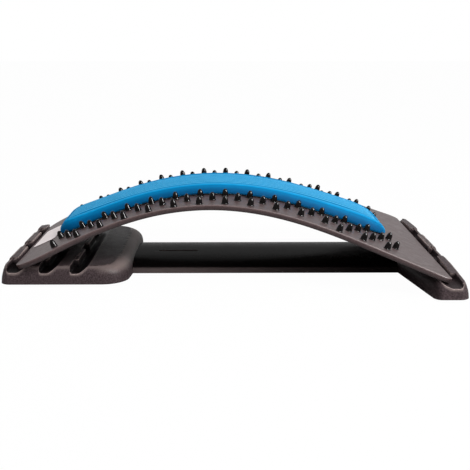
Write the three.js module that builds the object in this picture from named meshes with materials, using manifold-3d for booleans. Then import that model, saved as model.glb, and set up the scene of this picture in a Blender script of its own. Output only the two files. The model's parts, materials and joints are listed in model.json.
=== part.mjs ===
// Arched back stretcher: a moulded base with one seat groove on the right and three on the left,
// and a flexible arched plate that stands in them. The plate carries rows of pressure studs and a
// ribbed foam strip. Millimetres, +Z up, +X towards the wide end. The origin is the middle of the
// base's footprint, on the floor.
import * as THREE from 'three';
import { mergeGeometries, mergeVertices } from 'three/addons/utils/BufferGeometryUtils.js';
import Module from 'manifold-3d';

const wasm = await Module();
wasm.setup();

// Shape of the bent plate: how far its slope swings each way, and its straight ends.
const bendAngle = THREE.MathUtils.degToRad(23.15);
const leftStraightLength = 27.5;
const rightStraightLength = 64.5;

// Plate, measured along its bent top face from the crown.
const plateLeftReach = 179;
const plateRightReach = 207;
const plateWaistHalfWidth = 81;
const plateWaistPlace = -54;
const plateLeftHalfWidth = 98;
const plateRightHalfWidth = 123;
const plateLeftCorner = 19;
const plateRightCorner = 13;
const plateSheet = 3;
const plateRimDepth = 4.4;
const plateRimWidth = 4;
const plateEdgeBevel = 0.8;
const plateStationPitch = 13;
const leftFlarePower = 2;
const rightFlarePower = 1.65;

// Pressure studs, moulded with the plate in rows that run along it.
const studColumns = 15;
const studFromLeftEnd = 39.7;
const studFromRightEnd = 43.9;
const studHeight = 5.9;
const studRadius = 2.4;
const studRowFromFoam = 6;
const studRowFromWaist = 4.5;
const wingStudFromSide = 7.3;
const studSides = 8;

// Foam strip, its adhesive sheet and the blank label.
const foamHalfWidth = 37.5;
const foamFromLeftEnd = 34;
const foamFromRightEnd = 41;
const foamEdgeHeight = 6.6;
const foamCrownHeight = 10.4;
const foamWallDrawIn = 1.1;
const foamLedgeWidth = 3.2;
const foamRibPitch = 6;
const foamRibDepth = 0.5;
const foamEndTaper = 17;
const foamCornerRadius = 23;
const foamStationPitch = 11.5;
const adhesiveThickness = 0.4;
const adhesiveInset = 3;
const labelThickness = 0.4;
const labelLength = 66;
const labelWidth = 22;
const labelOffset = 7;
const labelFromEnd = 6.5;

// Base moulding. Heights are over its own underside.
const footProud = 1.3;
const barHalfWidth = 47.5;
const barThickness = 5.2;
const barEdgeRound = 1.6;
const leftHalfWidth = 82.5;
const rightHalfWidth = 128.5;
const leftBlockLength = 107;
const leftFlareLength = 3;
const rightBlockLength = 28.4;
const rightFlareLength = 15;
const blockCornerRadius = 9;
const leftFlareRadiusShare = 0.63;
const rightFlareRadius = 7;
const leftRidgeHeight = 18.2;
const rightRidgeHeight = 16.9;
const leftRidgeBow = 1.6;
const rightRidgeBow = 4.8;
const leftShoulder = 13;
const rightShoulder = 7;
const leftSideShoulderShare = 0.343;
const rightSideShoulder = 16;
const wallLean = 4.5;
const wallThickness = 2.7;

// Seats in the base, and how high the noses of the plate sit in them over the underside.
const leftNoseHeight = 13.82;
const rightNoseHeight = 12.7;
const leftFloorHeight = 9.9;
const rightFloorHeight = 8.9;
const groovePitch = 26.3;
const grooveStepDown = 0.35;
const leftFloorWidth = 4.2;
const rightFloorWidth = 6.1;
const grooveCorner = 2.6;
const leftRampOverPlate = THREE.MathUtils.degToRad(9.72);
const rightRampOverPlate = THREE.MathUtils.degToRad(7.98);
const leftCrestGap = 0.17;
const rightCrestGap = 0.44;
const lugDrop = 1.6;
const leftLugProjection = 4;
const leftLugPitch = 53;
const leftLugWidth = 24;
const rightLugProjection = 2.6;
const rightLugPitch = 81;
const rightLugWidth = 49;
const rightLugOffset = 7;
const hangSlotLength = 36;
const hangSlotWidth = 3.4;
const hangSlotDepth = 1.4;
const hangSlotPlace = -47;

// How finely the base is drawn.
const grooveCount = 3;
const blockCornerSteps = 4;
const roofSteps = 12;
const easedEdgeShare = 0.3;

// Underside of the base: cells between ribs, as in any large moulding.
const cellSize = 24;
const ribThickness = 3;
const cellBorder = 7;
const blockCellDepth = 6.4;
const barCellDepth = 2.4;

// Rubber feet.
const footRadius = 8;
const footHeight = 2.8;
const footInset = 11;
const footSides = 20;

// Fits.
const seatGap = 0.3;
const leftEndClearance = 1;
const rightEndClearance = 2.6;
const overrun = 2;

// Arch curve: the slope swings as a sine over the bent length and is steady in the straight ends.
// Positive slopes fall towards +X.
const bendStart = -plateLeftReach + leftStraightLength;
const bendEnd = plateRightReach - rightStraightLength;
const bendHalfLength = (bendEnd - bendStart) / 2;
const bendCentre = (bendStart + bendEnd) / 2;

function bentSlope(s, tilt) {
  const share = THREE.MathUtils.clamp((s - bendCentre) / bendHalfLength, -1, 1);
  return tilt + bendAngle * Math.sin((Math.PI / 2) * share);
}

const curveSteps = 600;
const curveStart = -plateLeftReach;
const curveStep = (plateRightReach + plateLeftReach) / curveSteps;

function bentCurve(tilt) {
  const points = [{ x: 0, z: 0 }];
  for (let i = 0; i < curveSteps; i += 1) {
    const slope = bentSlope(curveStart + (i + 0.5) * curveStep, tilt);
    const last = points[i];
    points.push({ x: last.x + Math.cos(slope) * curveStep, z: last.z - Math.sin(slope) * curveStep });
  }
  return { points, tilt };
}

// Point of a bent curve's own space: s along the top face, n out of the top face.
function onCurve(curve, s, n) {
  const place = THREE.MathUtils.clamp((s - curveStart) / curveStep, 0, curveSteps - 1e-9);
  const i = Math.floor(place);
  const a = curve.points[i];
  const b = curve.points[i + 1];
  const slope = bentSlope(s, curve.tilt);
  return {
    x: a.x + (b.x - a.x) * (place - i) + n * Math.sin(slope),
    z: a.z + (b.z - a.z) * (place - i) + n * Math.cos(slope),
  };
}

// Both ends of the plate are rounded noses. The right one is the pivot of the whole plate.
const noseRadius = plateRimDepth / 2;

function noseCentres(curve) {
  return [
    onCurve(curve, -plateLeftReach + noseRadius, -noseRadius),
    onCurve(curve, plateRightReach - noseRadius, -noseRadius),
  ];
}

// The plate tips until both of its noses are at their heights in the seats.
function tiltInSeats() {
  const [left, right] = noseCentres(bentCurve(0));
  const run = right.x - left.x;
  const fall = left.z - right.z;
  const seated = Math.asin((leftNoseHeight - rightNoseHeight) / Math.hypot(run, fall));
  return seated - Math.atan2(fall, run);
}

const arch = bentCurve(tiltInSeats());
const [leftNoseRaw, rightNoseRaw] = noseCentres(arch);

function archSlope(s) {
  return bentSlope(s, arch.tilt);
}

// The base reaches past each nose by the clearance, the lug, the wall and the wall's lean.
const leftReach = noseRadius + leftEndClearance + leftLugProjection + wallThickness + wallLean;
const rightReach = noseRadius + rightEndClearance + rightLugProjection + wallThickness + wallLean;
const archShiftX = -(leftNoseRaw.x - leftReach + rightNoseRaw.x + rightReach) / 2;
const archShiftZ = footProud + rightNoseHeight - rightNoseRaw.z;

function onArch(s, y, n) {
  const p = onCurve(arch, s, n);
  return new THREE.Vector3(p.x + archShiftX, y, p.z + archShiftZ);
}

const leftNose = onArch(-plateLeftReach + noseRadius, 0, -noseRadius);
const rightNose = onArch(plateRightReach - noseRadius, 0, -noseRadius);
const leftOuter = leftNose.x - leftReach;
const rightOuter = rightNose.x + rightReach;
const leftStop = leftNose.x - noseRadius - leftEndClearance;
const rightStop = rightNose.x + noseRadius + rightEndClearance;
const baseBottom = footProud;
const leftFloor = baseBottom + leftFloorHeight;
const rightFloor = baseBottom + rightFloorHeight;

// Seats: each ramp is steeper than the plate over it and ends in a crest just under the plate.
// Distances run from the stop wall towards the middle of the base.
function seatShape(end, noseHeight, floorHeight, noseDistance, floorWidth, rampOver, crestGap) {
  const slope = Math.abs(archSlope(end));
  const plateRise = Math.tan(slope);
  const rampRise = Math.tan(slope + rampOver);
  const underNose = noseHeight - noseDistance * plateRise - noseRadius / Math.cos(slope);
  const run = (underNose - crestGap - floorHeight + floorWidth * rampRise) / (rampRise - plateRise);
  return { floorWidth, ramp: run - floorWidth, crest: floorHeight + (run - floorWidth) * rampRise };
}

const leftSeat = seatShape(
  -plateLeftReach, leftNoseHeight, leftFloorHeight, noseRadius + leftEndClearance,
  leftFloorWidth, leftRampOverPlate, leftCrestGap,
);
const rightSeat = seatShape(
  plateRightReach, rightNoseHeight, rightFloorHeight, noseRadius + rightEndClearance,
  rightFloorWidth, rightRampOverPlate, rightCrestGap,
);

// Solids and booleans.
const mergeTolerance = 1e-4;

function toSolid(geometry) {
  const bare = geometry.clone();
  bare.deleteAttribute('normal');
  bare.deleteAttribute('uv');
  const merged = mergeVertices(bare, mergeTolerance);
  return new wasm.Manifold(new wasm.Mesh({
    numProp: 3,
    vertProperties: new Float32Array(merged.attributes.position.array),
    triVerts: new Uint32Array(merged.index.array),
  }));
}

function toGeometry(solid) {
  const mesh = solid.getMesh();
  const positions = new Float32Array(mesh.vertProperties);
  const geometry = new THREE.BufferGeometry();
  geometry.setAttribute('position', new THREE.BufferAttribute(positions, 3));
  geometry.setIndex(new THREE.BufferAttribute(new Uint32Array(mesh.triVerts), 1));
  geometry.computeVertexNormals();
  return geometry;
}

// Closed body through rings of points that run anticlockwise seen from the last ring.
function loft(rings) {
  const count = rings[0].length;
  const positions = rings.flat().flatMap((p) => [p.x, p.y, p.z]);
  const index = [];
  for (let r = 0; r + 1 < rings.length; r += 1) {
    for (let i = 0; i < count; i += 1) {
      const a = r * count + i;
      const b = r * count + ((i + 1) % count);
      index.push(a, b, b + count, a, b + count, a + count);
    }
  }
  const cap = (ring, offset, flip) => {
    const normal = new THREE.Vector3();
    ring.forEach((p, i) => normal.add(new THREE.Vector3().crossVectors(p, ring[(i + 1) % count])));
    const larger = (m, k) => (Math.abs(normal[k]) > Math.abs(normal[m]) ? k : m);
    const axis = ['x', 'y', 'z'].reduce(larger, 'x');
    const [u, v] = { x: ['y', 'z'], y: ['z', 'x'], z: ['x', 'y'] }[axis];
    const flat = ring.map((p) => new THREE.Vector2(p[u], p[v]));
    const reversed = THREE.ShapeUtils.isClockWise(flat);
    const order = reversed ? flat.map((_, i) => count - 1 - i) : flat.map((_, i) => i);
    const faces = THREE.ShapeUtils.triangulateShape(order.map((i) => flat[i]), []);
    faces.forEach((face) => {
      const [a, b, c] = face.map((i) => offset + order[i]);
      if (reversed !== flip) index.push(a, c, b);
      else index.push(a, b, c);
    });
  };
  cap(rings[0], 0, true);
  cap(rings[rings.length - 1], (rings.length - 1) * count, false);
  const geometry = new THREE.BufferGeometry();
  geometry.setAttribute('position', new THREE.Float32BufferAttribute(positions, 3));
  geometry.setIndex(index);
  return geometry;
}

// Block with its corners at two opposite points.
function block(x0, x1, y0, y1, z0, z1) {
  const geometry = new THREE.BoxGeometry(x1 - x0, y1 - y0, z1 - z0);
  geometry.translate((x0 + x1) / 2, (y0 + y1) / 2, (z0 + z1) / 2);
  return geometry;
}

// Profile in x and z, extruded across the whole width between -reach and reach.
function acrossProfile(points, reach) {
  const shape = new THREE.Shape(points.map(([x, z]) => new THREE.Vector2(x, z)));
  const geometry = new THREE.ExtrudeGeometry(shape, { depth: 2 * reach, bevelEnabled: false });
  geometry.rotateX(Math.PI / 2);
  geometry.translate(0, reach, 0);
  return geometry;
}

// Outline through corners [x, y, radius], each rounded by an arc of the same number of points.
function roundedOutline(corners, steps) {
  const out = [];
  corners.forEach(([x, y, radius], i) => {
    const corner = new THREE.Vector2(x, y);
    const before = corners[(i + corners.length - 1) % corners.length];
    const after = corners[(i + 1) % corners.length];
    const inward = new THREE.Vector2(before[0], before[1]).sub(corner).normalize();
    const outward = new THREE.Vector2(after[0], after[1]).sub(corner).normalize();
    const half = inward.angleTo(outward) / 2;
    const start = corner.clone().addScaledVector(inward, radius / Math.tan(half));
    const end = corner.clone().addScaledVector(outward, radius / Math.tan(half));
    const middle = inward.clone().add(outward).normalize();
    const centre = corner.clone().addScaledVector(middle, radius / Math.sin(half));
    const from = start.clone().sub(centre).angle();
    let sweep = end.clone().sub(centre).angle() - from;
    sweep = Math.atan2(Math.sin(sweep), Math.cos(sweep));
    for (let k = 0; k <= steps; k += 1) {
      const angle = from + (sweep * k) / steps;
      const arm = new THREE.Vector2(radius, 0).rotateAround(new THREE.Vector2(), angle);
      out.push(centre.clone().add(arm));
    }
  });
  return out;
}

// Plate outline: waisted sides that flare to both ends, with rounded corners.
function plateSide(s) {
  if (s < plateWaistPlace) {
    const share = (plateWaistPlace - s) / (plateLeftReach + plateWaistPlace);
    return plateWaistHalfWidth + (plateLeftHalfWidth - plateWaistHalfWidth) * share ** leftFlarePower;
  }
  const share = (s - plateWaistPlace) / (plateRightReach - plateWaistPlace);
  return plateWaistHalfWidth + (plateRightHalfWidth - plateWaistHalfWidth) * share ** rightFlarePower;
}

function cornerInset(distance, radius) {
  const into = Math.max(radius - distance, 0);
  return radius - Math.sqrt(radius ** 2 - into ** 2);
}

function plateHalfWidth(s) {
  const left = cornerInset(s + plateLeftReach, plateLeftCorner);
  const right = cornerInset(plateRightReach - s, plateRightCorner);
  return plateSide(s) - left - right;
}

// Places of the cross-sections: even steps, with the corners and noses worked in.
function stations(start, end, pitch, startSteps, endSteps) {
  const inner = [];
  const from = start + startSteps[startSteps.length - 1];
  const to = end - endSteps[endSteps.length - 1];
  const count = Math.max(Math.round((to - from) / pitch), 1);
  for (let i = 1; i < count; i += 1) inner.push(from + ((to - from) * i) / count);
  return [...startSteps.map((d) => start + d), ...inner, ...endSteps.map((d) => end - d).reverse()];
}

function arcSteps(radius, turns) {
  return turns.map((turn) => radius * (1 - Math.cos(turn * (Math.PI / 2))));
}

const noseTurnShares = [0.14, 0.45, 0.75, 1];
const cornerTurnShares = [0.65, 0.82, 1];

function plateStations() {
  const nose = arcSteps(noseRadius, noseTurnShares);
  const left = [...nose, ...arcSteps(plateLeftCorner, cornerTurnShares)];
  const right = [...nose, ...arcSteps(plateRightCorner, cornerTurnShares)];
  return stations(-plateLeftReach, plateRightReach, plateStationPitch, left, right);
}

function noseHalfDepth(s) {
  const distance = Math.min(s + plateLeftReach, plateRightReach - s);
  const into = Math.max(noseRadius - distance, 0);
  return Math.sqrt(noseRadius ** 2 - into ** 2);
}

function plateRing(s) {
  const half = noseHalfDepth(s);
  const top = -noseRadius + half;
  const bottom = -noseRadius - half;
  const bevel = Math.min(plateEdgeBevel, half / 2);
  const w = plateHalfWidth(s);
  return [
    onArch(s, -w, bottom), onArch(s, w, bottom), onArch(s, w, top - bevel),
    onArch(s, w - bevel, top), onArch(s, -w + bevel, top), onArch(s, -w, top - bevel),
  ];
}

function hollowRing(s) {
  const w = plateHalfWidth(s) - plateRimWidth;
  const floor = -plateRimDepth - overrun;
  return [onArch(s, -w, floor), onArch(s, w, floor), onArch(s, w, -plateSheet), onArch(s, -w, -plateSheet)];
}

function plateGeometry(studPlaces) {
  const body = toSolid(loft(plateStations().map(plateRing)));
  const inset = [plateRimWidth, plateRimWidth + noseRadius, ...arcSteps(plateLeftCorner, [1])];
  const hollowPlaces = stations(-plateLeftReach, plateRightReach, plateStationPitch, inset, inset);
  const hollow = toSolid(loft(hollowPlaces.map(hollowRing)));
  const stud = studGeometry();
  const studs = studPlaces.map(({ s, y }) => placeOnPlate(stud, s, y, 0));
  return toGeometry(body.subtract(hollow).add(toSolid(mergeGeometries(studs))));
}

// Moves a copy of a piece that stands along +Z onto the plate, square to it.
function placeOnPlate(geometry, s, y, n) {
  const copy = geometry.clone();
  copy.rotateY(archSlope(s));
  const p = onArch(s, y, n);
  copy.translate(p.x, p.y, p.z);
  return copy;
}

// Stud: a bullet shape whose root runs down into the plate.
function studGeometry() {
  const headShares = [[1, 0], [0.93, 0.34], [0.62, 0.78], [0, 1]];
  const root = -plateSheet / 2;
  const profile = [
    new THREE.Vector2(0, root),
    new THREE.Vector2(studRadius, root),
    ...headShares.map(([r, h]) => new THREE.Vector2(studRadius * r, studHeight * h)),
  ];
  const geometry = new THREE.LatheGeometry(profile, studSides);
  geometry.rotateX(Math.PI / 2);
  return geometry;
}

const studFirst = -plateLeftReach + studFromLeftEnd;
const studLast = plateRightReach - studFromRightEnd;
const studPitch = (studLast - studFirst) / (studColumns - 1);

function studPlace(column) {
  return studFirst + column * studPitch;
}

// Rows from the foam strip outwards. The row between two full ones is staggered, and a short row
// fills the wing where the plate is wide.
const innerRow = foamHalfWidth + studRowFromFoam;
const outerRow = plateWaistHalfWidth - studRowFromWaist;
const wingColumns = 3;
const wingFirst = studColumns - wingColumns - 0.5;
const studRows = [
  { y: innerRow, from: 0, count: studColumns },
  { y: (innerRow + outerRow) / 2, from: 0.5, count: studColumns - 1 },
  { y: outerRow, from: 0, count: studColumns },
  { y: plateHalfWidth(studPlace(wingFirst)) - wingStudFromSide, from: wingFirst, count: wingColumns },
];

function studRowPlaces(row, side) {
  const columns = Array.from({ length: row.count }, (_, i) => row.from + i);
  return columns.map((column) => ({ s: studPlace(column), y: side * row.y }));
}

// Foam strip: drawn-in side walls, a ledge, and a crowned top with ribs along it.
const foamLeftReach = plateLeftReach - foamFromLeftEnd;
const foamRightReach = plateRightReach - foamFromRightEnd;

function foamHalfWidthAt(s) {
  const left = cornerInset(s + foamLeftReach, foamCornerRadius);
  const right = cornerInset(foamRightReach - s, foamCornerRadius);
  return foamHalfWidth - left - right;
}

const foamLift = adhesiveThickness + 2 * seatGap;
const foamEndHeightShare = 0.35;

function foamHeightShare(s) {
  const distance = Math.min(s + foamLeftReach, foamRightReach - s, foamEndTaper);
  const share = distance / foamEndTaper;
  return foamEndHeightShare + (1 - foamEndHeightShare) * Math.sin(share * (Math.PI / 2));
}

// Half of the section, from the middle of the foot up the wall and over the ledge, as shares of the
// ledge and of the edge height.
const foamWaistShare = 0.4;
const foamLipShares = { across: 0.35, up: 1.08 };
const foamInnerShare = 1.04;

function foamRing(s) {
  const w = foamHalfWidthAt(s);
  const share = foamHeightShare(s);
  const narrow = w / foamHalfWidth;
  const edge = foamEdgeHeight * share;
  const wall = [
    [w, 0],
    [w - foamWallDrawIn * share, edge * foamWaistShare],
    [w, edge],
    [w - foamLedgeWidth * foamLipShares.across, edge * foamLipShares.up],
  ];
  const topHalf = w - foamLedgeWidth;
  const ribs = Math.round((2 * (foamHalfWidth - foamLedgeWidth)) / foamRibPitch);
  const top = [];
  for (let i = 0; i <= 2 * ribs; i += 1) {
    const place = 1 - i / ribs;
    const rise = (foamCrownHeight - foamEdgeHeight) * (1 - place ** 2) * share;
    const dip = i % 2 === 0 ? foamRibDepth * share * narrow : 0;
    top.push([topHalf * place, edge * foamInnerShare + rise - dip]);
  }
  const mirrored = wall.map(([y, h]) => [-y, h]).reverse();
  return [...wall, ...top, ...mirrored].map(([y, h]) => onArch(s, y, foamLift + h));
}

const foamCornerTurnShares = [0.12, 0.3, 0.48, 0.66, 0.83, 1];

function foamGeometry() {
  const corner = arcSteps(foamCornerRadius, foamCornerTurnShares);
  return loft(stations(-foamLeftReach, foamRightReach, foamStationPitch, corner, corner).map(foamRing));
}

// Thin sheet that follows the plate, lifted off it by the usual gap.
function sheetGeometry(from, to, pitch, halfWidthAt, centreY, thickness) {
  const steps = stations(from, to, pitch, [0], [0]);
  return loft(steps.map((s) => {
    const w = halfWidthAt(s);
    return [
      onArch(s, centreY - w, seatGap), onArch(s, centreY + w, seatGap),
      onArch(s, centreY + w, seatGap + thickness), onArch(s, centreY - w, seatGap + thickness),
    ];
  }));
}

// The two blocks of the base. side is -1 on the left and 1 on the right.
const leftBlock = {
  side: -1,
  outer: leftOuter,
  half: leftHalfWidth,
  length: leftBlockLength,
  flare: leftFlareLength,
  flareRadius: leftFlareRadiusShare * (leftHalfWidth - barHalfWidth),
  crest: leftSeat.crest,
  shoulder: leftShoulder,
  sideShoulder: leftSideShoulderShare * (leftHalfWidth - barHalfWidth),
  ridge: leftRidgeHeight,
  bow: leftRidgeBow,
};
const rightBlock = {
  side: 1,
  outer: rightOuter,
  half: rightHalfWidth,
  length: rightBlockLength,
  flare: rightFlareLength,
  flareRadius: rightFlareRadius,
  crest: rightSeat.crest,
  shoulder: rightShoulder,
  sideShoulder: rightSideShoulder,
  ridge: rightRidgeHeight,
  bow: rightRidgeBow,
};

// Form of a block from the foot to the top: height as a share of the crest, and how far its outer
// wall, its sides and its inner shoulder are drawn in, as shares of the whole lean and shoulders.
const levelShares = [
  { height: 0, outer: 0, side: 0, inner: 0 },
  { height: 0.33, outer: 0.12, side: 0.03, inner: 0.03 },
  { height: 0.58, outer: 0.32, side: 0.06, inner: 0.12 },
  { height: 0.77, outer: 0.5, side: 0.13, inner: 0.33 },
  { height: 0.9, outer: 0.64, side: 0.25, inner: 0.58 },
  { height: 0.975, outer: 0.74, side: 0.38, inner: 0.8 },
  { height: 1.01, outer: 0.78, side: 0.46, inner: 0.95 },
  { height: 1.3, outer: 1, side: 1, inner: 1 },
];

function blockRing(form, level) {
  const { side, outer } = form;
  const inward = level.inner * form.shoulder;
  const sideIn = level.side * form.sideShoulder;
  const x0 = outer - side * level.outer * wallLean;
  const x1 = outer - side * (form.length - inward);
  const x2 = outer - side * (form.length + form.flare - inward);
  const w = form.half - sideIn;
  const r = blockCornerRadius * (1 - level.side / 2);
  const flareRadius = form.flareRadius - inward / 2;
  const corners = [
    [x0, -w, r], [x1, -w, flareRadius], [x2, -barHalfWidth, r],
    [x2, barHalfWidth, r], [x1, w, flareRadius], [x0, w, r],
  ];
  const ordered = side < 0 ? corners : corners.reverse();
  const z = baseBottom + level.height * form.crest;
  return roundedOutline(ordered, blockCornerSteps).map((p) => new THREE.Vector3(p.x, p.y, z));
}

// One seat: stop wall, rounded foot, floor, and a ramp up to the next crest.
function seatPoints(stop, floor, before, seat, direction) {
  const crest = baseBottom + seat.crest;
  const turns = [0, 1 / 3, 2 / 3, 1];
  const foot = turns.map((turn) => [
    stop + direction * grooveCorner * (1 - Math.cos(turn * (Math.PI / 2))),
    floor + grooveCorner * (1 - Math.sin(turn * (Math.PI / 2))),
  ]);
  const rampFoot = stop + direction * seat.floorWidth;
  return [[stop, before], ...foot, [rampFoot, floor], [rampFoot + direction * seat.ramp, crest]];
}

function leftSeatFloor(groove) {
  return leftFloor - groove * grooveStepDown;
}

function leftStopAt(groove) {
  return leftStop + groove * groovePitch;
}

function leftProfile() {
  const crest = baseBottom + leftSeat.crest;
  const ridge = baseBottom + leftRidgeHeight;
  const wall = leftStop - leftLugProjection;
  const end = leftOuter + leftBlockLength + leftFlareLength + overrun;
  const points = [
    [leftOuter - overrun, baseBottom - overrun], [leftOuter - overrun, ridge - lugDrop],
    [wall - wallThickness, ridge - lugDrop / 2], [wall - wallThickness / 2, ridge], [wall, ridge],
  ];
  for (let i = 0; i < grooveCount; i += 1) {
    const before = i === 0 ? ridge - lugDrop : crest;
    points.push(...seatPoints(leftStopAt(i), leftSeatFloor(i), before, leftSeat, 1));
  }
  points.push([end, crest], [end, baseBottom - overrun]);
  return points;
}

function rightProfile() {
  const crest = baseBottom + rightSeat.crest;
  const ridge = baseBottom + rightRidgeHeight;
  const wall = rightStop + rightLugProjection;
  const start = rightOuter - rightBlockLength - rightFlareLength - overrun;
  return [
    [rightOuter + overrun, baseBottom - overrun], [rightOuter + overrun, ridge - lugDrop],
    [wall + wallThickness, ridge - lugDrop / 2], [wall + wallThickness / 2, ridge], [wall, ridge],
    ...seatPoints(rightStop, rightFloor, ridge - lugDrop, rightSeat, -1),
    [start, crest], [start, baseBottom - overrun],
  ].reverse();
}

// Roof over the stop wall, highest in the middle and falling to both sides. It leaves the rest of
// the block alone.
function roofSolid(form, stop) {
  const reach = form.half + overrun;
  const low = baseBottom - overrun;
  const arc = Array.from({ length: roofSteps + 1 }, (_, i) => {
    const share = 1 - (2 * i) / roofSteps;
    return new THREE.Vector2(reach * share, baseBottom + form.ridge - form.bow * share ** 2);
  });
  const ring = [new THREE.Vector2(-reach, low), new THREE.Vector2(reach, low), ...arc];
  const seatSide = stop - form.side * grooveCorner;
  const [x0, x1] = [seatSide, form.outer + form.side * overrun].sort((a, b) => a - b);
  const roof = toSolid(loft([x0, x1].map((x) => ring.map((p) => new THREE.Vector3(x, p.x, p.y)))));
  const inner = form.outer - form.side * (form.length + form.flare + overrun);
  const [x2, x3] = [inner, seatSide].sort((a, b) => a - b);
  return roof.add(toSolid(block(x2, x3, -reach, reach, low, baseBottom + form.ridge)));
}

function blockSolid(form, profile, stop) {
  return toSolid(loft(levelShares.map((level) => blockRing(form, level))))
    .intersect(toSolid(acrossProfile(profile, form.half + overrun)))
    .intersect(roofSolid(form, stop));
}

// Pockets between the three lugs of a stop wall. The outermost ones are open to the side faces.
function pocketBoxes(stop, projection, direction, floor, lugs, half) {
  const x0 = Math.min(stop - direction * projection, stop + direction * grooveCorner);
  const x1 = Math.max(stop - direction * projection, stop + direction * grooveCorner);
  const top = baseBottom + leftRidgeHeight + overrun;
  const centres = [-1, 0, 1].map((i) => lugs.offset + i * lugs.pitch);
  const starts = [-half - overrun, ...centres.map((y) => y + lugs.width / 2)];
  const ends = [...centres.map((y) => y - lugs.width / 2), half + overrun];
  return starts.map((y0, i) => block(x0, x1, y0, ends[i], floor, top));
}

// Grid of cells cut up into the underside, kept inside the given half width.
function cellBoxes(x0, x1, halfWidth, depth) {
  const columns = Math.max(Math.floor((x1 - x0 + ribThickness) / (cellSize + ribThickness)), 1);
  const rows = Math.max(Math.floor((2 * halfWidth + ribThickness) / (cellSize + ribThickness)), 1);
  const dx = (x1 - x0 - (columns - 1) * ribThickness) / columns;
  const dy = (2 * halfWidth - (rows - 1) * ribThickness) / rows;
  const boxes = [];
  for (let i = 0; i < columns; i += 1) {
    for (let j = 0; j < rows; j += 1) {
      const x = x0 + i * (dx + ribThickness);
      const y = -halfWidth + j * (dy + ribThickness);
      boxes.push(block(x, x + dx, y, y + dy, baseBottom - overrun, baseBottom + depth));
    }
  }
  return boxes;
}

function footPlaces() {
  const leftX = leftOuter + footInset;
  const rightX = rightOuter - footInset;
  return [
    { name: 'foot_left_near', x: leftX, y: -leftHalfWidth + footInset },
    { name: 'foot_left_far', x: leftX, y: leftHalfWidth - footInset },
    { name: 'foot_right_near', x: rightX, y: -rightHalfWidth + footInset },
    { name: 'foot_right_far', x: rightX, y: rightHalfWidth - footInset },
  ];
}

function disc(radius, height, x, y, z) {
  const geometry = new THREE.CylinderGeometry(1, 1, 1, footSides);
  geometry.scale(radius, height, radius);
  geometry.rotateX(Math.PI / 2);
  geometry.translate(x, y, z + height / 2);
  return geometry;
}

// Bar between the blocks, with its two upper edges eased. It runs into both blocks.
function barSolid() {
  const x0 = leftOuter + leftBlockLength - leftShoulder;
  const x1 = rightOuter - rightBlockLength;
  const top = baseBottom + barThickness;
  const eased = barEdgeRound * easedEdgeShare;
  const upper = [
    [barHalfWidth, top - barEdgeRound],
    [barHalfWidth - eased, top - eased],
    [barHalfWidth - barEdgeRound, top],
  ];
  const mirrored = upper.map(([y, z]) => [-y, z]).reverse();
  const section = [[-barHalfWidth, baseBottom], [barHalfWidth, baseBottom], ...upper, ...mirrored];
  return toSolid(loft([x0, x1].map((x) => section.map(([y, z]) => new THREE.Vector3(x, y, z)))));
}

function baseGeometry() {
  const left = blockSolid(leftBlock, leftProfile(), leftStop);
  const right = blockSolid(rightBlock, rightProfile(), rightStop);
  const leftLugs = { pitch: leftLugPitch, width: leftLugWidth, offset: 0 };
  const rightLugs = { pitch: rightLugPitch, width: rightLugWidth, offset: rightLugOffset };
  const leftPockets = [0, 1, 2].flatMap((i) => pocketBoxes(
    leftStopAt(i), leftLugProjection, 1, leftSeatFloor(i), leftLugs, leftHalfWidth,
  ));
  const rightPockets = pocketBoxes(
    rightStop, rightLugProjection, -1, rightFloor, rightLugs, rightHalfWidth,
  );
  const barTop = baseBottom + barThickness;
  const slot = block(
    hangSlotPlace - hangSlotLength / 2, hangSlotPlace + hangSlotLength / 2,
    -hangSlotWidth / 2, hangSlotWidth / 2, barTop - hangSlotDepth, barTop + overrun,
  );
  const recessDepth = footHeight - footProud + seatGap;
  const recesses = footPlaces().map(({ x, y }) => disc(
    footRadius + seatGap, recessDepth + overrun, x, y, baseBottom - overrun,
  ));
  const leftInner = leftOuter + leftBlockLength;
  const rightInner = rightOuter - rightBlockLength;
  const cells = [
    ...cellBoxes(
      leftOuter + 2 * footInset, leftInner - leftShoulder, leftHalfWidth - cellBorder, blockCellDepth,
    ),
    ...cellBoxes(
      leftInner + leftFlareLength, rightInner - rightFlareLength, barHalfWidth - cellBorder, barCellDepth,
    ),
    ...cellBoxes(
      rightInner + ribThickness, rightOuter - cellBorder, rightHalfWidth - 2 * footInset - cellBorder,
      blockCellDepth,
    ),
  ];
  const cuts = toSolid(mergeGeometries([...leftPockets, ...rightPockets, slot, ...recesses, ...cells]));
  return toGeometry(barSolid().add(left).add(right).subtract(cuts));
}

// Materials.
const blackMoulding = new THREE.MeshStandardMaterial({ color: 0x1c191a, roughness: 0.62, metalness: 0 });
const greyMoulding = new THREE.MeshStandardMaterial({ color: 0x4b4445, roughness: 0.66, metalness: 0 });
const blueFoam = new THREE.MeshStandardMaterial({ color: 0x1a8fd0, roughness: 0.75, metalness: 0 });
const clearAdhesive = new THREE.MeshStandardMaterial({ color: 0xb9b4a8, roughness: 0.5, metalness: 0 });
const paleLabel = new THREE.MeshStandardMaterial({ color: 0xe8e0dd, roughness: 0.55, metalness: 0 });
const footRubber = new THREE.MeshStandardMaterial({ color: 0x121111, roughness: 0.85, metalness: 0 });

const stretcher = new THREE.Group();

function addPiece(parent, name, geometry, material) {
  const mesh = new THREE.Mesh(geometry, material);
  mesh.name = name;
  parent.add(mesh);
}

const base = new THREE.Group();
addPiece(base, 'base_frame', baseGeometry(), blackMoulding);
footPlaces().forEach(({ name, x, y }) => {
  addPiece(base, name, disc(footRadius, footHeight, x, y, 0), footRubber);
});

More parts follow.
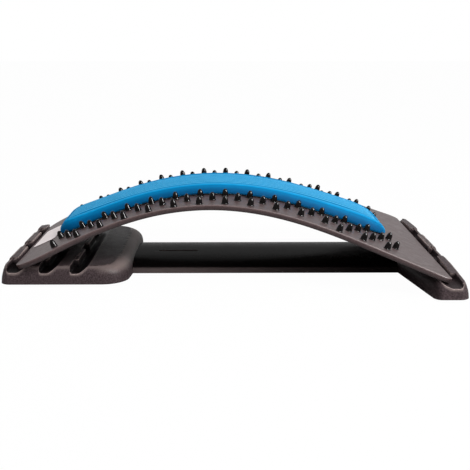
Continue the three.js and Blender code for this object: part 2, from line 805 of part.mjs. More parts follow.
const lifted = new THREE.Group();
const studPlaces = studRows.flatMap((row) => [-1, 1].flatMap((side) => studRowPlaces(row, side)));
addPiece(lifted, 'arch_plate', plateGeometry(studPlaces), greyMoulding);
addPiece(lifted, 'foam_strip', foamGeometry(), blueFoam);
addPiece(lifted, 'foam_adhesive', sheetGeometry(
  -foamLeftReach + adhesiveInset, foamRightReach - adhesiveInset, plateStationPitch,
  (s) => foamHalfWidthAt(s) - adhesiveInset, 0, adhesiveThickness,
), clearAdhesive);
addPiece(lifted, 'blank_label', sheetGeometry(
  -plateLeftReach + labelFromEnd, -plateLeftReach + labelFromEnd + labelWidth, labelWidth,
  () => labelLength / 2, labelOffset, labelThickness,
), paleLabel);

stretcher.add(base, lifted);

export default stretcher;
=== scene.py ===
# %% [markdown]
# # Arched back stretcher
#
# A flexible black plate is bent into an arch and stands with both ends in grooves of a low
# moulded base. Blunt studs press on the back from both sides of a blue foam strip.
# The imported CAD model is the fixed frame: it says where every piece is and what moves. This
# lesson builds the surfaces that the eye sees around it. Lengths are written in millimetres and
# turned into metres when a mesh is made.

# %% Load the frame
import json
import math

import bpy
import bmesh
import numpy as np
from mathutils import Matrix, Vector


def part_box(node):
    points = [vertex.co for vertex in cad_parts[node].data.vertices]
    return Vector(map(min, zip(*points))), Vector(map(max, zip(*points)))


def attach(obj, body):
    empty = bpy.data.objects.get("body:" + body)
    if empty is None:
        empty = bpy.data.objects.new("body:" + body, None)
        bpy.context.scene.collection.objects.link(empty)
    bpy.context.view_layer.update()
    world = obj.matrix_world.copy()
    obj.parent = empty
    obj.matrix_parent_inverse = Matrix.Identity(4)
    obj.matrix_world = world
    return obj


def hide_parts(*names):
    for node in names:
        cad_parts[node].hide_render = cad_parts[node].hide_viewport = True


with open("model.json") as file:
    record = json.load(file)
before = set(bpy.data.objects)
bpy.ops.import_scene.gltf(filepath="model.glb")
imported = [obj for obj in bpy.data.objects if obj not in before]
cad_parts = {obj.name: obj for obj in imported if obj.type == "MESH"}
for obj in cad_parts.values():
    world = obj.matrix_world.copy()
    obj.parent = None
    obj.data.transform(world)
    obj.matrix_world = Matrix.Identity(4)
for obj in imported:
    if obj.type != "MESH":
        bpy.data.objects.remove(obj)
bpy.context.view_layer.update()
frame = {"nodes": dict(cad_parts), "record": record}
MM = 0.001

# %% [markdown]
# ## Curves used all over
#
# A few shapes come back in nearly every piece: a bell for what fades off to both sides, a
# straight ramp for what starts at a place, and the arc of a rounded corner.


# %% Bell, ramps and corner
def bell(x, centre, width):
    """Bell curve: e to the minus square of the distance from the centre over the width."""
    return np.exp(-(((x - centre) / width) ** 2))


def ramp(x, zero, one):
    """Straight line that is 0 at the place zero and 1 at the place one, held outside them."""
    return np.clip((x - zero) / (one - zero), 0, 1)


def within(distance, half, ease):
    """1 at distances below half and 0 above, with a straight ramp of width ease between."""
    return np.clip((half - distance) / ease + 0.5, 0, 1)


def corner_inset(distance, radius):
    """How far a rounded corner draws a side in, at a distance from the end: the radius less the
    height of a circle of that radius."""
    into = np.clip(radius - distance, 0, radius)
    return radius - np.sqrt(radius**2 - into**2)


def points_of(x, y, z):
    """Points of three arrays, each spread over the grid that they share."""
    return np.stack(np.broadcast_arrays(x, y, z), axis=-1)


def beside(places, offsets):
    """All the places with each of the offsets added, in one row."""
    return (np.ravel(places)[:, None] + np.array(offsets)).ravel()


print("a corner of 2 mm draws in", corner_inset(0.8, 2.0), "mm at 0.8 mm")

# %% [markdown]
# ## Camera
#
# The view is from the long side, a little above the plate, through a short telephoto lens. A
# guessed view never puts both ends right, so it was worked out from many points of known size.

# %% Camera
camera_data = bpy.data.cameras.new("stretcher_camera")
camera_data.sensor_width = 36.0
camera_data.lens = 65.1
camera_data.clip_end = 30.0
camera = bpy.data.objects.new("stretcher_camera", camera_data)
camera.location = (0.000315, -0.7784, 0.2095)
camera.rotation_euler = (math.pi / 2 - 0.2328, 0.0, -0.0077)
bpy.context.scene.collection.objects.link(camera)
bpy.context.scene.camera = camera
print("camera stands", round(-camera.location.y, 3), "m in front of the middle")

# %% [markdown]
# ## Studio
#
# Black plastic shows its form by what it mirrors, so it needs large soft lights and a white
# room. The room is the world itself: white where the camera or a reflection looks, and dimmer
# where it lights the object, so that the lamps still shape it.


# %% White room
def plain_shader(tree, kind, grey, strength=None):
    """Shader node of a plain grey, with its strength where the kind has one."""
    node = tree.nodes.new(kind)
    node.inputs["Color"].default_value = (grey, grey, grey, 1.0)
    if strength is not None:
        node.inputs["Strength"].default_value = strength
    return node


def calculated(tree, operation, first, second):
    """Result of an operation on the socket first and on second, a socket or a number."""
    node = tree.nodes.new("ShaderNodeMath")
    node.operation = operation
    tree.links.new(first, node.inputs[0])
    if isinstance(second, bpy.types.NodeSocket):
        tree.links.new(second, node.inputs[1])
    else:
        node.inputs[1].default_value = second
    return node.outputs[0]


def show_blend(tree, output_kind, share, first, second):
    """Show on the tree's surface the first shader where the share is 0 and the second at 1."""
    blend = tree.nodes.new("ShaderNodeMixShader")
    output = tree.nodes.new(output_kind)
    tree.links.new(share, blend.inputs["Fac"])
    tree.links.new(first.outputs[0], blend.inputs[1])
    tree.links.new(second.outputs[0], blend.inputs[2])
    tree.links.new(blend.outputs[0], output.inputs["Surface"])


ROOM_LIGHT = 0.4
world = bpy.data.worlds.new("white_room")
bpy.context.scene.world = world
world.use_nodes = True
room = world.node_tree
room.nodes.clear()
room_path = room.nodes.new("ShaderNodeLightPath")
seen_or_mirrored = calculated(
    room, "MAXIMUM", room_path.outputs["Is Camera Ray"], room_path.outputs["Is Glossy Ray"])
show_blend(
    room, "ShaderNodeOutputWorld", seen_or_mirrored,
    plain_shader(room, "ShaderNodeBackground", 1.0, ROOM_LIGHT),
    plain_shader(room, "ShaderNodeBackground", 1.0, 1.0))
bpy.context.scene.view_settings.view_transform = "Standard"
print("the room lights at", ROOM_LIGHT)

# %% [markdown]
# The key lamp at the front right picks out the base's shoulders and leaves the space under the
# arch dark. The overhead lamp fills the rest. The strip only puts a narrow glint on the gloss.


# %% Lamps
def soft_lamp(name, place, aim, size, watts):
    """Square lamp at place whose -Z axis is turned onto the line to aim."""
    data = bpy.data.lights.new(name, "AREA")
    data.shape = "SQUARE"
    data.size = size
    data.energy = watts
    lamp = bpy.data.objects.new(name, data)
    direction = np.subtract(aim, place)
    azimuth = math.atan2(direction[1], direction[0])
    fall = math.atan2(math.hypot(direction[0], direction[1]), -direction[2])
    lamp.location = place
    lamp.rotation_euler = (fall, 0.0, azimuth - math.pi / 2)
    bpy.context.scene.collection.objects.link(lamp)
    return lamp


PLATE_MIDDLE = (0.0, 0.0, 0.03)
PLATE_CROWN = (0.0, 0.0, 0.05)
soft_lamp("overhead_lamp", (0.1, 0.1, 1.2), PLATE_MIDDLE, size=0.9, watts=2.5)
soft_lamp("key_lamp", (0.7, -0.7, 0.95), PLATE_MIDDLE, size=0.45, watts=11.0)
gleam = soft_lamp("gleam_strip", (0.85, -0.5, 0.75), PLATE_CROWN, size=0.22, watts=95.0)
gleam.data.shape = "RECTANGLE"
gleam.data.size_y = 0.8
gleam.visible_diffuse = False
print("two soft lamps and a strip that only shows in the gloss")

# %% Floor
FLOOR_REACH = 6.0
FLOOR_LEVEL = -0.0002
FLOOR_SEEN_WHITE = 0.98
floor_material = bpy.data.materials.new("pale_floor")
floor_material.use_nodes = True
tree = floor_material.node_tree
tree.nodes.clear()
floor_path = tree.nodes.new("ShaderNodeLightPath")
show_blend(
    tree, "ShaderNodeOutputMaterial",
    calculated(tree, "MULTIPLY", floor_path.outputs["Is Camera Ray"], FLOOR_SEEN_WHITE),
    plain_shader(tree, "ShaderNodeBsdfDiffuse", 0.95),
    plain_shader(tree, "ShaderNodeEmission", 1.0, 1.0))
floor_mesh = bpy.data.meshes.new("floor")
floor_mesh.from_pydata([
    (x * FLOOR_REACH, y * FLOOR_REACH, FLOOR_LEVEL)
    for x, y in ((-1, -1), (1, -1), (1, 1), (-1, 1))], [], [(0, 1, 2, 3)])
floor_mesh.materials.append(floor_material)
floor = bpy.data.objects.new("floor", floor_mesh)
bpy.context.scene.collection.objects.link(floor)
print("floor", 2 * FLOOR_REACH, "m wide")

# %% [markdown]
# ## Finishes
#
# Both mouldings are the same warm black plastic. The plate and the base are grained, so they
# look grey at a low angle, and the studs and the bar are smooth. A single colour would look like
# paint, so each finish has a fine grain in its bump and slow clouds in its colour. Every point
# carries a share called "edge" that paints light and shade into the colour: 1 where a painted
# highlight or sheen makes edges, lips, ribs and shoulders paler, 0 on plain faces, and down to
# -1 where painted shade darkens hollows, grooves and faces under the arch.


# %% Finish helpers
def chart(red, green, blue):
    """Colour from its 0 to 255 values, taken to the renderer's linear scale: the share over 12.92
    in the darks, and a power of 2.4 above them."""
    shares = np.array([red, green, blue]) / 255
    linear = np.where(shares <= 0.04045, shares / 12.92, ((shares + 0.055) / 1.055) ** 2.4)
    return (*linear.tolist(), 1.0)


def finish(name, colour, roughness):
    """New material with one principled shader, returned with its node tree and that shader."""
    material = bpy.data.materials.new(name)
    material.use_nodes = True
    shader = material.node_tree.nodes["Principled BSDF"]
    shader.inputs["Base Color"].default_value = colour
    shader.inputs["Roughness"].default_value = roughness
    return material, material.node_tree, shader


def noise(tree, scale, detail=2.0):
    """Noise over the object's own coordinates, with scale in waves per metre."""
    coordinates = tree.nodes.new("ShaderNodeTexCoord")
    texture = tree.nodes.new("ShaderNodeTexNoise")
    texture.inputs["Scale"].default_value = scale
    texture.inputs["Detail"].default_value = detail
    tree.links.new(coordinates.outputs["Object"], texture.inputs["Vector"])
    return texture.outputs["Fac"]


def remap(tree, value, low, high, to_low, to_high):
    """Straight line from low to high onto to_low to to_high, held at both ends."""
    node = tree.nodes.new("ShaderNodeMapRange")
    limits = {"From Min": low, "From Max": high, "To Min": to_low, "To Max": to_high}
    for limit, number in limits.items():
        node.inputs[limit].default_value = number
    tree.links.new(value, node.inputs["Value"])
    return node.outputs["Result"]


def mixed(tree, share, first, second):
    """Colour between first and second, each a colour or a socket, by a share held to 0 and 1."""
    node = tree.nodes.new("ShaderNodeMix")
    node.data_type = "RGBA"
    tree.links.new(share, node.inputs["Factor"])
    for socket, colour in ((node.inputs["A"], first), (node.inputs["B"], second)):
        if isinstance(colour, bpy.types.NodeSocket):
            tree.links.new(colour, socket)
        else:
            socket.default_value = colour
    return node.outputs["Result"]


def cloudy(tree, scale, detail, spread, first, second):
    """Colour that drifts between first and second over a noise, whose middle part counts."""
    cloud = remap(tree, noise(tree, scale, detail), 0.5 - spread, 0.5 + spread, 0.0, 1.0)
    return mixed(tree, cloud, first, second)


def bump(tree, shader, height, strength, depth):
    """Bump on the shader from a height in 0 to 1, with depth in metres."""
    node = tree.nodes.new("ShaderNodeBump")
    node.inputs["Strength"].default_value = strength
    node.inputs["Distance"].default_value = depth
    tree.links.new(height, node.inputs["Height"])
    tree.links.new(node.outputs["Normal"], shader.inputs["Normal"])


def toned(tree, body, edge, painted_shade_colour):
    """Colour body, mixed towards the painted highlight colour edge where the attribute 'edge' is 1
    and towards the painted shade colour where it is -1.
    """
    node = tree.nodes.new("ShaderNodeAttribute")
    node.attribute_name = "edge"
    share = node.outputs["Fac"]
    body = mixed(tree, remap(tree, share, -1.0, 0.0, 1.0, 0.0), body, painted_shade_colour)
    return mixed(tree, share, body, edge)


print("finish helpers ready")


# %% Black mouldings
def black_moulding(name, roughness, grain, grain_depth, level, colours):
    """Grained black plastic: cloudy between two colours, specked with the third, the fourth as a
    painted highlight on its edges, the fifth as painted shade in its hollows. Its gloss drifts a
    little as well."""
    dark, middle, pale, edge, painted_shade_colour = [chart(*colour) for colour in colours]
    material, tree, shader = finish(name, dark, roughness)
    speck = remap(tree, noise(tree, grain), 0.38, 0.66, 0.0, 1.0)
    body = mixed(tree, speck, cloudy(tree, 38.0, 3.0, 0.15, dark, middle), pale)
    tree.links.new(toned(tree, body, edge, painted_shade_colour), shader.inputs["Base Color"])
    gloss = remap(tree, noise(tree, 160.0), 0.3, 0.7, roughness - 0.04, roughness + 0.05)
    tree.links.new(gloss, shader.inputs["Roughness"])
    shader.inputs["Specular IOR Level"].default_value = level
    bump(tree, shader, noise(tree, grain, 3.0), 0.5, grain_depth)
    return material


# Each finish: its name, roughness, waves of its grain per metre, depth of the grain in metres,
# share of the mirroring, and the five colours, of which the fourth is a painted highlight and the
# fifth painted shade.
MOULDINGS = [
    ("grained_base_black", 0.4, 900.0, 0.0004, 0.03,
     [(56, 47, 49), (63, 53, 55), (82, 70, 72), (158, 142, 138), (16, 12, 13)]),
    ("matte_plate_black", 0.45, 1000.0, 0.0003, 0.24,
     [(56, 40, 41), (62, 45, 46), (74, 56, 56), (126, 107, 106), (34, 26, 27)]),
    ("smooth_stud_black", 0.13, 600.0, 0.00001, 0.09,
     [(8, 4, 4), (10, 6, 6), (13, 8, 8), (16, 10, 10), (6, 3, 3)]),
    ("smooth_bar_black", 0.2, 700.0, 0.00001, 0.0025,
     [(14, 11, 11), (17, 14, 14), (22, 18, 18), (92, 82, 81), (9, 7, 7)]),
    ("foot_rubber", 0.8, 1800.0, 0.0001, 0.5,
     [(18, 17, 17), (21, 20, 20), (25, 24, 24), (30, 29, 29), (10, 9, 9)])]
base_black, plate_black, stud_black, bar_black, rubber_black = [
    black_moulding(*row) for row in MOULDINGS]
print("black finishes:", *[row[0] for row in MOULDINGS])

# %% Foam, film and adhesive finishes
foam_blue, tree, shader = finish("ribbed_foam_blue", chart(10, 140, 214), 0.7)
body = cloudy(tree, 60.0, 3.0, 0.2, chart(0, 146, 208), chart(0, 154, 217))
# Painted light and shade: the paler colour is a painted sheen and highlight on the ribbed top, lip
# and right end, the darker one painted shade in grooves, furrows and on the side wall.
body = toned(tree, body, chart(98, 188, 230), chart(0, 94, 148))
tree.links.new(body, shader.inputs["Base Color"])
bump(tree, shader, noise(tree, 2600.0, 3.0), 0.35, 0.00012)
shader.inputs["Specular IOR Level"].default_value = 0.02

film_pale, tree, shader = finish("pale_label_film", chart(246, 233, 233), 0.42)
body = cloudy(tree, 120.0, 3.0, 0.2, chart(244, 230, 230), chart(251, 239, 239))
tree.links.new(body, shader.inputs["Base Color"])
bump(tree, shader, noise(tree, 500.0), 0.2, 0.00004)

adhesive_clear, tree, shader = finish("clear_adhesive", chart(150, 146, 138), 0.5)
body = cloudy(tree, 300.0, 2.0, 0.2, chart(138, 134, 127), chart(160, 156, 148))
tree.links.new(body, shader.inputs["Base Color"])
print("other finishes:", foam_blue.name, film_pale.name, adhesive_clear.name)

# %% [markdown]
# ## The bent curve
#
# Everything on the arch is measured along the plate's bent top face, as on a flexible ruler:
# s along it, y across it, and n out of it. A bend modifier would stretch the studs too, so the
# slope of the curve is added up step by step and each piece is laid straight into the bent space.
# The rounded nose of the curve's right end lies on the frame's hinge.

# %% Bent space of the plate
BEND_ANGLE = math.radians(23.15)
ARCH_TILT = math.radians(-2.13)
BEND_HALF = 147.0
BEND_CENTRE = -4.5
PLATE_LEFT = 179.0
PLATE_RIGHT = 207.0
NOSE = 2.2


def arch_slope(s):
    """Slope of the plate at s: a steady tilt plus a sine that swings over the bent length."""
    share = np.clip((s - BEND_CENTRE) / BEND_HALF, -1, 1)
    return ARCH_TILT + BEND_ANGLE * np.sin(np.pi / 2 * share)


curve_s = np.linspace(-PLATE_LEFT, PLATE_RIGHT, 1201)
curve_step = curve_s[1] - curve_s[0]
middle_slopes = arch_slope((curve_s[1:] + curve_s[:-1]) / 2)
curve_x = np.concatenate([[0], np.cumsum(np.cos(middle_slopes) * curve_step)])
curve_z = np.concatenate([[0], np.cumsum(-np.sin(middle_slopes) * curve_step)])
hinge = np.array(frame["record"]["behaviour"]["joints"][0]["pos_m"]) / MM
nose_s = PLATE_RIGHT - NOSE
nose_slope = arch_slope(nose_s)
curve_x += hinge[0] - (np.interp(nose_s, curve_s, curve_x) - NOSE * np.sin(nose_slope))
curve_z += hinge[2] - (np.interp(nose_s, curve_s, curve_z) - NOSE * np.cos(nose_slope))


def on_arch(s, y, n):
    """Point at s along the top face, y across it and n along its normal."""
    slope = arch_slope(s)
    x = np.interp(s, curve_s, curve_x) + n * np.sin(slope)
    z = np.interp(s, curve_s, curve_z) + n * np.cos(slope)
    return points_of(x, y, z)


print("crown of the plate, mm:", np.round(on_arch(np.array([0.0]), 0.0, 0.0)[0], 1))

# %% [markdown]
# ## Shells
#
# Nearly every piece is a closed shell: an upper and a lower skin over the same grid, joined all
# round. Both skins are whole arrays, and the faces are listed so that they all look outwards.

# %% Shell helper
MERGE = 2e-6
SLIVER = 1e-6


def quad_rows(rows, columns):
    """Indices of the four corners of each cell of a grid, turning from rows to columns."""
    first = (np.arange(rows - 1)[:, None] * columns + np.arange(columns - 1)[None, :]).ravel()
    return np.stack([first, first + columns, first + columns + 1, first + 1], axis=1)


def strip(outer, inner):
    """Faces between two runs of indices, from the first run to the second."""
    return np.stack([outer[:-1], inner[:-1], inner[1:], outer[1:]], axis=1)


def shell_faces(rows, columns):
    """Faces of a closed shell over two grids of one size: the upper skin, the lower skin turned
    over, and the four sides."""
    size = rows * columns
    grid = np.arange(size).reshape(rows, columns)
    skin = quad_rows(rows, columns)
    borders = (grid[:, 0], grid[::-1, -1], grid[0, ::-1], grid[-1, :])
    sides = [strip(border, border + size) for border in borders]
    return np.concatenate([skin, skin[:, ::-1] + size, *sides])


def mesh_from(name, points, faces, edge=0.0, turn_outwards=False):
    """Mesh of points in mm and four-cornered faces, with doubles merged and the edge share of
    each point, its painted light and shade, as an attribute."""
    mesh = bpy.data.meshes.new(name)
    mesh.from_pydata((points * MM).tolist(), [], faces.tolist())
    attribute = mesh.attributes.new("edge", "FLOAT", "POINT")
    attribute.data.foreach_set("value", np.full(len(points), edge, np.float32))
    work = bmesh.new()
    work.from_mesh(mesh)
    bmesh.ops.remove_doubles(work, verts=work.verts, dist=MERGE)
    bmesh.ops.dissolve_degenerate(work, edges=work.edges, dist=SLIVER)
    if turn_outwards:
        bmesh.ops.recalc_face_normals(work, faces=work.faces)
    work.to_mesh(mesh)
    work.free()
    return mesh


def shell(name, upper, lower, edge_upper=0.0, edge_lower=0.0):
    """Closed shell between two grids of the same size, upper over lower."""
    rows, columns = upper.shape[:2]
    points = np.concatenate([upper.reshape(-1, 3), lower.reshape(-1, 3)])
    shares = [np.broadcast_to(edge, (rows, columns)).ravel() for edge in (edge_upper, edge_lower)]
    return mesh_from(name, points, shell_faces(rows, columns), np.concatenate(shares))


def count_open(mesh):
    """Number of edges that don't have exactly two faces."""
    work = bmesh.new()
    work.from_mesh(mesh)
    found = sum(1 for e in work.edges if len(e.link_faces) != 2)
    work.free()
    return found


def piece(name, mesh, material, body, replaced, smooth=40.0):
    """Object of the mesh, smooth up to an angle, that rides on a body and replaces CAD nodes."""
    mesh.materials.append(material)
    mesh.shade_smooth()
    mesh.set_sharp_from_angle(angle=math.radians(smooth))
    made = bpy.data.objects.new(name, mesh)
    bpy.context.scene.collection.objects.link(made)
    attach(made, body)
    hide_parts(*replaced)
    print(name, len(mesh.vertices), "points,", len(mesh.polygons), "faces,", count_open(mesh),
          "open edges")
    return made


# %% [markdown]
# ## Arched plate
#
# The plate is one sheet, 3 mm thick, with a deeper rim all round and a rounded nose at each end.
# Its sides draw in at the waist and flare out towards both ends. The outline is a formula that
# the skins follow, so the rounded corners stay round on the bend.

# %% Plate outline
WAIST_PLACE = -54.0
WAIST_HALF = 81.0
LEFT_HALF = 98.0
RIGHT_HALF = 123.0
LEFT_FLARE_POWER = 2
RIGHT_FLARE_POWER = 1.65
LEFT_CORNER = 34.0
RIGHT_CORNER = 13.0
RIM_WIDTH = 4.0
turn = np.linspace(0, np.pi / 2, 9)


def plate_half(s):
    """Half width of the plate: it grows from the waist by a power of the way to each end, less
    the corners."""
    to_left = np.clip((WAIST_PLACE - s) / (PLATE_LEFT + WAIST_PLACE), 0, None)
    to_right = np.clip((s - WAIST_PLACE) / (PLATE_RIGHT - WAIST_PLACE), 0, None)
    side = WAIST_HALF + np.where(
        s < WAIST_PLACE, (LEFT_HALF - WAIST_HALF) * to_left**LEFT_FLARE_POWER,
        (RIGHT_HALF - WAIST_HALF) * to_right**RIGHT_FLARE_POWER)
    left = corner_inset(s + PLATE_LEFT, LEFT_CORNER)
    return side - left - corner_inset(PLATE_RIGHT - s, RIGHT_CORNER)


def end_stations(radius, first, count):
    """Distances from an end at which the skins need a row: round the nose, round the corner and
    on both sides of the rim's step."""
    corner = radius * (1 - np.cos(np.linspace(first, np.pi / 2, count)))
    step = [RIM_WIDTH - 0.1, RIM_WIDTH + 0.1]
    return np.unique(np.concatenate([NOSE * (1 - np.cos(turn)), corner, step]).round(4))


plate_s = np.sort(np.concatenate([
    -PLATE_LEFT + end_stations(LEFT_CORNER, 0.4, 18), np.arange(-142.0, 192.0, 3.0),
    PLATE_RIGHT - end_stations(RIGHT_CORNER, 0.6, 14)]))
print("plate outline at", len(plate_s), "places")

# %% Plate skins
EDGE_ROUND = 0.9
RIM_DEPTH = 4.4
RIM_ROUND = 0.5
SHEET = 3.0
near_edge = np.array([0.0, 0.07, 0.26, 0.55, 0.9, 1.6, 2.7, 3.85, 4.15, 6.0])
inner_shares = np.linspace(-1, 1, 33)[1:-1]
half_width = plate_half(plate_s)[:, None]
plate_y = np.concatenate([
    -half_width + near_edge, (half_width - near_edge[-1]) * inner_shares,
    half_width - near_edge[::-1]], axis=1)
from_side = half_width - np.abs(plate_y)
from_end = np.minimum(plate_s + PLATE_LEFT, PLATE_RIGHT - plate_s)[:, None]
top_n = -corner_inset(from_side, EDGE_ROUND)
rim_n = -RIM_DEPTH + corner_inset(from_side, RIM_ROUND)
low_n = np.where((from_side > RIM_WIDTH) & (from_end > RIM_WIDTH), -SHEET, rim_n)
nose_share = np.sqrt(NOSE**2 - np.clip(NOSE - from_end, 0, None) ** 2) / NOSE
top_n = -NOSE + (top_n + NOSE) * nose_share
low_n = -NOSE + (low_n + NOSE) * nose_share
from_outline = np.minimum(from_side, from_end)
# The edge shares paint a highlight along the rounded top edge and shade at the foot of the rim.
plate_mesh = shell(
    "arched_plate", on_arch(plate_s[:, None], plate_y, top_n),
    on_arch(plate_s[:, None], plate_y, low_n),
    0.9 * bell(from_outline, 0.6, 0.45), -0.8 * bell(from_outline, 0.0, 0.5))
piece("arched_plate", plate_mesh, plate_black, "arch", ["arch_plate"], 50.0)

# %% [markdown]
# ## Pressure studs
#
# The 94 studs are moulded with the plate. Each is a blunt bullet on a small fillet, square to the
# bent face. One profile is turned on its axis, and its ring points are carried to every place.

# %% Studs
STUD_PITCH = 21.6
STUD_START = 11.9
stud_radius = np.array([3.6, 3.0, 2.8, 2.7, 2.55, 2.35, 2.05, 1.6, 1.1, 0.55, 0.0])
stud_height = np.array([-0.05, 0.25, 0.7, 1.7, 2.9, 4.1, 5.1, 5.9, 6.4, 6.7, 6.8])
stud_turn = np.linspace(0, 2 * np.pi, 17)[:-1]
# Each row: how far out it runs, its first place in pitches, and its number of studs.
stud_rows = [(43.5, -7.0, 15), (60.0, -6.5, 14), (76.5, -7.0, 15), (93.0, 4.5, 3)]
stud_s = np.concatenate([
    STUD_START + (first + np.tile(np.arange(count), 2)) * STUD_PITCH
    for _, first, count in stud_rows])
stud_y = np.concatenate([np.repeat([-y, y], count) for y, _, count in stud_rows])
ring_s = stud_radius[:, None] * np.cos(stud_turn)
ring_y = stud_radius[:, None] * np.sin(stud_turn)
ring_n = stud_height[:, None]
slope = arch_slope(stud_s)[:, None, None]
foot = on_arch(stud_s, stud_y, 0.0)[:, None, None, :]
stud_points = points_of(
    foot[..., 0] + ring_s * np.cos(slope) + ring_n * np.sin(slope),
    foot[..., 1] + ring_y,
    foot[..., 2] - ring_s * np.sin(slope) + ring_n * np.cos(slope))
levels, sides = ring_s.shape
around = np.arange(sides)
after = (around + 1) % sides
level = np.arange(levels - 1)[:, None] * sides
ring_faces = np.stack([
    level + around, level + after, level + sides + after, level + sides + around], axis=-1)
foot_fan = np.stack([0 * around[1:-2:2], around[3::2], around[2:-1:2], around[1:-2:2]], axis=1)
one_stud = np.concatenate([ring_faces.reshape(-1, 4), foot_fan])
first_points = np.arange(len(stud_s)) * levels * sides
stud_faces = (one_stud[None] + first_points[:, None, None]).reshape(-1, 4)
stud_mesh = mesh_from("pressure_studs", stud_points.reshape(-1, 3), stud_faces)
piece("pressure_studs", stud_mesh, stud_black, "arch", ["arch_plate"], 60.0)
print(len(stud_s), "studs")

# %% [markdown]
# ## Foam strip
#
# The blue strip is soft foam with fine ribs along it. Its sides rise in a round shoulder, a lip
# runs round the top between two thin grooves, and the middle is a low crown. It is thicker
# towards both ends. Its swelling isn't drawn by hand: a coarse copy is blown up a little as cloth
# with its foot held, and the way each point moved is carried over to the fine grid.

# %% Foam section
FOAM_HALF = 37.5
FOAM_LEFT = 144.5
FOAM_RIGHT = 164.2
FOAM_MIDDLE = (FOAM_RIGHT - FOAM_LEFT) / 2
FOAM_CORNER = 20.0
FOAM_LIFT = 1.0
FOAM_FOOT = 1.2
FOOT_INSET = 0.9
SHOULDER = 10.0
SHOULDER_RISE = 7.2
CROWN_RISE = 0.5
CROWN_REACH = 9
LIP = 8.8
INNER_GROOVE = 11.3
OUTER_GROOVE = 5.0
SWELL_ROOM = 0.6


def foam_half(s):
    """Half width of the strip, rounded at the corners of both ends."""
    left = corner_inset(s + FOAM_LEFT, FOAM_CORNER)
    return FOAM_HALF - left - corner_inset(FOAM_RIGHT - s, FOAM_CORNER)


def foam_inset(s, y):
    """Distance in from the outline: near a corner the radius less the distance to the corner's
    centre, elsewhere the distance to the nearest side."""
    along = np.abs(s - FOAM_MIDDLE) - ((FOAM_RIGHT + FOAM_LEFT) / 2 - FOAM_CORNER)
    across = np.abs(y) - (FOAM_HALF - FOAM_CORNER)
    outside = np.hypot(np.clip(along, 0, None), np.clip(across, 0, None))
    return FOAM_CORNER - outside - np.minimum(np.maximum(along, across), 0)


def foam_height(inset):
    """Height by the inset: a quarter of an ellipse up the shoulder, then a low crown. The lip
    round the top is a bell, and so are the thin grooves beside it."""
    wall = ramp(inset, SHOULDER, 0)
    crown = 1 - np.exp(-np.clip(inset - SHOULDER, 0, None) / CROWN_REACH)
    lip = 0.35 * bell(inset, LIP, 1.6)
    grooves = 0.5 * bell(inset, INNER_GROOVE, 0.5) + 0.3 * bell(inset, OUTER_GROOVE, 0.5)
    shoulder = SHOULDER_RISE * np.sqrt(1 - wall**2)
    return FOAM_FOOT + shoulder + CROWN_RISE * crown + lip - grooves


def foam_rise(s):
    """Share of the height in the middle: it grows towards each end and falls off close to it."""
    left, right = s + FOAM_LEFT, FOAM_RIGHT - s
    growth = 0.3 * (bell(left, 0, 30) + bell(right, 0, 60))
    return 1 + growth - 0.3 * bell(left, 0, 8) - 0.5 * bell(right, 0, 14)


def foam_skins(s, across):
    """Upper and lower skin of the strip: the foot is drawn in under the shoulder, and the upper
    skin lies a little low, to leave room for the swelling."""
    y = foam_half(s)[:, None] * across
    n = foam_height(foam_inset(s[:, None], y)) * foam_rise(s)[:, None]
    upper = on_arch(s[:, None], y, FOAM_LIFT + n - SWELL_ROOM)
    foot_s = FOAM_MIDDLE + (s - FOAM_MIDDLE) * (1 - 2 * FOOT_INSET / (FOAM_LEFT + FOAM_RIGHT))
    lower = on_arch(foot_s[:, None], y * (1 - FOOT_INSET / FOAM_HALF), FOAM_LIFT)
    return upper, lower


print("foam strip", FOAM_LEFT + FOAM_RIGHT, "mm long")

# %% Foam grids
corner_turn = FOAM_CORNER * (1 - np.cos(np.linspace(0, np.pi / 2, 18)))
side_insets = np.array([
    0, 0.06, 0.22, 0.5, 0.9, 1.4, 2.0, 2.8, 3.7, 4.3, 4.7, 5.0, 5.3, 5.8, 6.6, 7.4, 8.2, 9.0, 9.7,
    10.3, 10.8, 11.1, 11.3, 11.5, 11.8, 12.4, 13.4])


def foam_places(corner, count):
    """Places along the strip: those round its corners and count between them."""
    between = np.linspace(-FOAM_LEFT + 26, FOAM_RIGHT - 26, count)
    return np.unique(np.concatenate([-FOAM_LEFT + corner, between, FOAM_RIGHT - corner]).round(4))


def foam_across(insets, reach, count):
    """Places across in shares of the half width: the insets from both sides and count between."""
    side = 1 - insets / FOAM_HALF
    return np.concatenate([-side, np.linspace(-reach, reach, count), side[::-1]])


coarse_s = foam_places(corner_turn[::2], 50)
coarse_across = foam_across(side_insets[[0, 3, 6, 9, 13, 18]], 0.64, 17)
fine_s = foam_places(corner_turn, 130)
fine_across = foam_across(side_insets, 0.62, 91)
print("foam grids:", len(coarse_s), "and", len(fine_s), "places along")

# %% Swelling
BLANK_DEPTH = 0.4
CLOTH = dict(
    quality=6, mass=0.01, tension_stiffness=18, compression_stiffness=18, bending_stiffness=6,
    use_pressure=True, uniform_pressure_force=10, vertex_group_mass="held")


